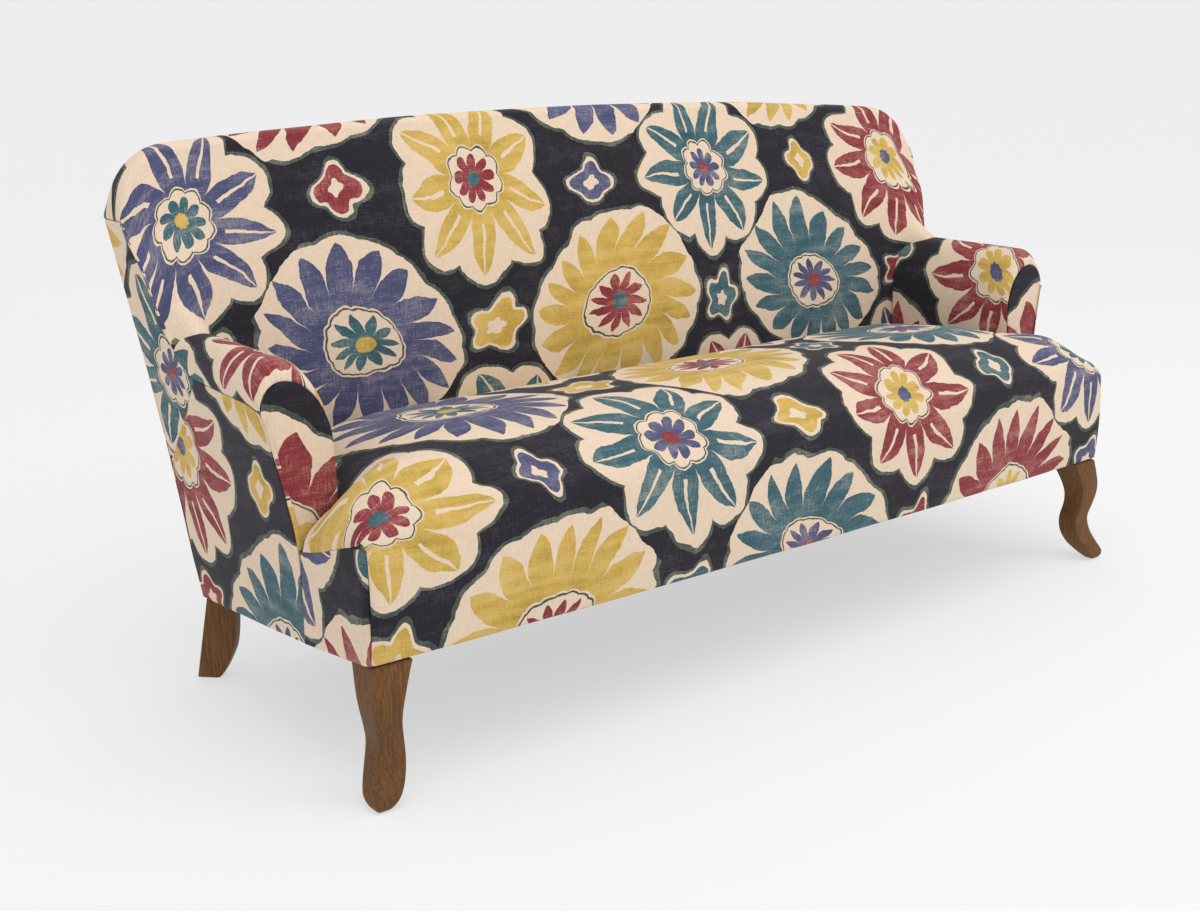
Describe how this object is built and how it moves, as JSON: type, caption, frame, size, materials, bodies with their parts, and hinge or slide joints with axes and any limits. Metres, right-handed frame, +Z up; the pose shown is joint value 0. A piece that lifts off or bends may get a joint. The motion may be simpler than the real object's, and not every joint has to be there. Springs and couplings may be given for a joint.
{
  "type": "three seater sofa",
  "caption": "Three-seater sofa with a tight crowned seat, low domed arms and an arched raked back in printed linen, on curved wooden legs.",
  "frame": {"origin": "floor level under the middle of the sofa's box", "axes": "+X along the sofa's length to the right seen from the front, +Y to the rear, +Z up"},
  "size_m": [1.8992, 0.6898, 0.94],
  "materials": {
    "printed_linen": "matte slubby weave with a large multicolour print",
    "leg_wood": "satin oiled hardwood, mid brown",
    "frame_beech": "sawn, unfinished",
    "spring_steel": "drawn wire",
    "zinc_steel": "zinc plated",
    "wadding": "foam and fibre",
    "jute": "coarse woven jute",
    "dust_cloth": "thin nonwoven cloth"
  },
  "bodies": {
    "root": {"front_leg_left": "leg_wood", "front_leg_right": "leg_wood", "rear_leg_left": "leg_wood", "rear_leg_right": "leg_wood", "leg_bolts": "zinc_steel", "leg_inserts": "zinc_steel", "front_rail": "frame_beech", "rear_rail": "frame_beech", "side_rail_left": "frame_beech", "side_rail_right": "frame_beech", "seat_stretchers": "frame_beech", "front_post_left": "frame_beech", "front_post_right": "frame_beech", "corner_blocks": "frame_beech", "block_screws": "zinc_steel", "back_post_left": "frame_beech", "back_post_right": "frame_beech", "top_rail": "frame_beech", "lower_back_rail": "frame_beech", "back_uprights": "frame_beech", "arm_post_left": "frame_beech", "arm_post_right": "frame_beech", "arm_rail_left": "frame_beech", "arm_rail_right": "frame_beech", "tack_rail_left": "frame_beech", "tack_rail_right": "frame_beech", "seat_springs": "spring_steel", "spring_clips": "spring_steel", "tie_rods": "spring_steel", "seat_hessian": "jute", "back_webbing": "jute", "seat_pad": "wadding", "front_pad": "wadding", "back_pad": "wadding", "arm_pad_left": "wadding", "arm_pad_right": "wadding", "arm_lining_left": "jute", "arm_lining_right": "jute", "seat_cover": "printed_linen", "seat_side_left": "printed_linen", "seat_side_right": "printed_linen", "arm_cover_left": "printed_linen", "arm_cover_right": "printed_linen", "arm_facing_left": "printed_linen", "arm_facing_right": "printed_linen", "outer_arm_left": "printed_linen", "outer_arm_right": "printed_linen", "inside_back": "printed_linen", "back_gusset_left": "printed_linen", "back_gusset_right": "printed_linen", "outside_back": "printed_linen", "dust_cover": "dust_cloth"}
  },
  "joints": []
}
